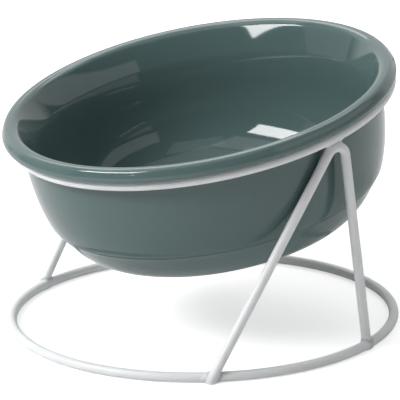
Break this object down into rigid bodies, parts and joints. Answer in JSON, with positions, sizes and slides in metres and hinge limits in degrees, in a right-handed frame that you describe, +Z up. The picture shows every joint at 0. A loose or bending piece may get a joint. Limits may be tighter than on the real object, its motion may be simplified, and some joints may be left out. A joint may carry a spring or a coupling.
{
  "type": "elevated cat bowl",
  "caption": "Tilted ceramic pet bowl hanging by its thick rolled lip in a raised wire stand, so that a cat eats without bending its neck.",
  "frame": {"origin": "on the floor at the middle of the lower ring, which is the middle of the whole object seen from above", "axes": "+Z up, -Y towards the bowl's low side, where the cat stands, +X towards the leg on the right as seen from the cat"},
  "size_m": [0.1592, 0.1578, 0.1094],
  "materials": {
    "glaze": "glossy grey-green glaze",
    "upper_ring_coat": "white powder coat over steel wire",
    "lower_ring_coat": "white powder coat over steel wire",
    "right_leg_coat": "white powder coat over steel wire",
    "left_leg_coat": "white powder coat over steel wire",
    "right_weld_coat": "white powder coat over weld metal",
    "left_weld_coat": "white powder coat over weld metal"
  },
  "bodies": {
    "stand": {"upper_ring": "upper_ring_coat", "lower_ring": "lower_ring_coat", "right_leg": "right_leg_coat", "left_leg": "left_leg_coat", "right_top_weld": "right_weld_coat", "left_top_weld": "left_weld_coat", "right_front_weld": "right_weld_coat", "right_rear_weld": "right_weld_coat", "left_front_weld": "left_weld_coat", "left_rear_weld": "left_weld_coat"},
    "bowl": {"bowl": "glaze"}
  },
  "joints": [
    {"name": "bowl_lift", "type": "slide", "parent": "stand", "child": "bowl", "axis": [0, -0.1822, 0.9833], "range_m": [0, 0.06]}
  ]
}
